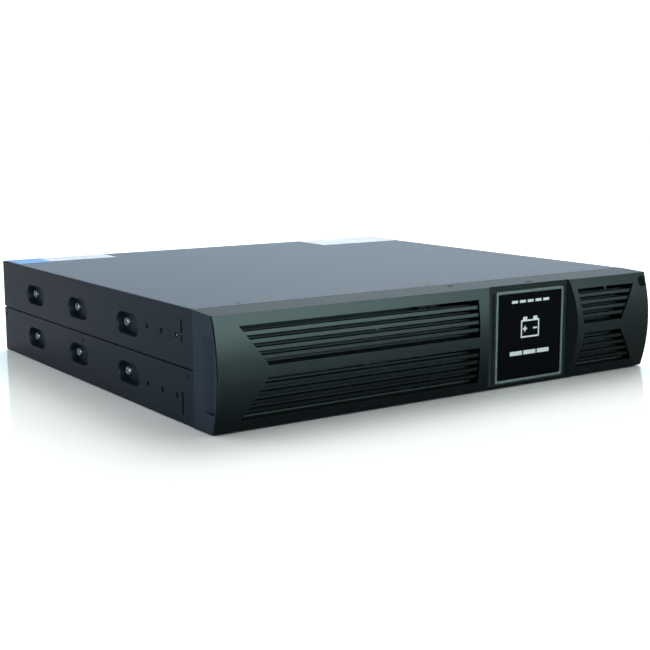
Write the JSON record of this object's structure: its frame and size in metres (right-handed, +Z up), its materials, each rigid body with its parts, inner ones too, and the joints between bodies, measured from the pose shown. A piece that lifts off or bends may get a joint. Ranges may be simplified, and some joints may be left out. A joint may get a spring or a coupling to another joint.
{
  "type": "rack battery pack",
  "caption": "Flat rack-mount external battery pack with a folded steel case, a curved louvred front bezel, a square badge and slide-out battery trays.",
  "frame": {"origin": "middle of the chassis floor, on its underside", "axes": "+Z up, +Y towards the rear panel, +X to the right seen from the front"},
  "size_m": [0.438, 0.4266, 0.086],
  "materials": {
    "powder_coated_steel": "satin",
    "galvanised_steel": "satin",
    "zinc_fasteners": "gloss",
    "bezel_plastic": "satin",
    "badge_rim_plastic": "gloss",
    "badge_gloss_plate": "gloss",
    "black_plastic": "matte",
    "battery_plastic": "matte",
    "lead_plates": "matte",
    "brass": "satin",
    "copper": "satin",
    "red_insulation": "satin",
    "black_insulation": "satin",
    "red_black_insulation": "satin",
    "insulation_film": "satin",
    "natural_nylon": "satin",
    "rubber": "matte",
    "lever_plastic": "satin",
    "webbing": "matte"
  },
  "bodies": {
    "chassis": {"base_tray": "powder_coated_steel", "top_cover": "powder_coated_steel", "front_frame": "galvanised_steel", "rear_panel": "powder_coated_steel", "centre_divider": "galvanised_steel", "guide_rails": "galvanised_steel", "slide_strips": "natural_nylon", "top_cross_rail": "galvanised_steel", "cover_screws": "zinc_fasteners", "clinch_nuts": "zinc_fasteners", "pocket_screws": "zinc_fasteners", "snap_grommets": "rubber", "circuit_breaker": "black_plastic", "breaker_terminals": "brass", "breaker_pivot_pin": "zinc_fasteners", "connector_housings": "black_plastic", "connector_contacts": "brass", "connector_screws": "zinc_fasteners", "dock_sockets": "black_plastic", "dock_brackets": "galvanised_steel", "bus_bars": "copper", "bus_bar_supports": "black_plastic", "positive_leads": "red_insulation", "negative_leads": "black_insulation", "earth_terminal": "brass"},
    "bezel": {"bezel_shell": "bezel_plastic", "corner_plug": "rubber", "left_louvre_insert": "black_plastic", "right_louvre_insert": "black_plastic"},
    "badge": {"badge_frame": "badge_rim_plastic", "badge_plate": "badge_gloss_plate"},
    "left_module": {"left_module_tray": "galvanised_steel", "left_module_front_plate": "powder_coated_steel", "left_insulation_sheet": "insulation_film", "left_battery_cases": "battery_plastic", "left_battery_lids": "battery_plastic", "left_plate_stacks": "lead_plates", "left_battery_terminals": "brass", "left_link_leads": "red_black_insulation", "left_dock_plug": "black_plastic", "left_dock_pins": "brass", "left_hold_down_straps": "webbing", "left_module_fasteners": "zinc_fasteners", "left_handle_lugs": "galvanised_steel"},
    "right_module": {"right_module_tray": "galvanised_steel", "right_module_front_plate": "powder_coated_steel", "right_insulation_sheet": "insulation_film", "right_battery_cases": "battery_plastic", "right_battery_lids": "battery_plastic", "right_plate_stacks": "lead_plates", "right_battery_terminals": "brass", "right_link_leads": "red_black_insulation", "right_dock_plug": "black_plastic", "right_dock_pins": "brass", "right_hold_down_straps": "webbing", "right_module_fasteners": "zinc_fasteners", "right_handle_lugs": "galvanised_steel"},
    "left_handle": {"left_handle": "zinc_fasteners"},
    "right_handle": {"right_handle": "zinc_fasteners"},
    "breaker_lever": {"breaker_lever": "lever_plastic"}
  },
  "joints": [
    {"name": "bezel_pull", "type": "slide", "parent": "chassis", "child": "bezel", "axis": [0, -1, 0], "range_m": [0, 0.4]},
    {"name": "left_module_slide", "type": "slide", "parent": "chassis", "child": "left_module", "axis": [0, -1, 0], "range_m": [0, 0.32]},
    {"name": "right_module_slide", "type": "slide", "parent": "chassis", "child": "right_module", "axis": [0, -1, 0], "range_m": [0, 0.32]},
    {"name": "badge_pull", "type": "slide", "parent": "bezel", "child": "badge", "axis": [0, -1, 0], "range_m": [0, 0.03]},
    {"name": "left_handle_fold", "type": "hinge", "parent": "left_module", "child": "left_handle", "pos_m": [-0.1065, -0.175, 0.046], "axis": [-1, 0, 0], "range_deg": [0, 90]},
    {"name": "right_handle_fold", "type": "hinge", "parent": "right_module", "child": "right_handle", "pos_m": [0.1065, -0.175, 0.046], "axis": [-1, 0, 0], "range_deg": [0, 90]},
    {"name": "breaker_throw", "type": "hinge", "parent": "chassis", "child": "breaker_lever", "pos_m": [0, 0.184, 0.051], "axis": [-1, 0, 0], "range_deg": [0, 44]}
  ],
  "couplings": [
    {"joint": "left_module_slide", "follows": "bezel_pull", "ratio": 0.8},
    {"joint": "right_module_slide", "follows": "bezel_pull", "ratio": 0.8}
  ]
}
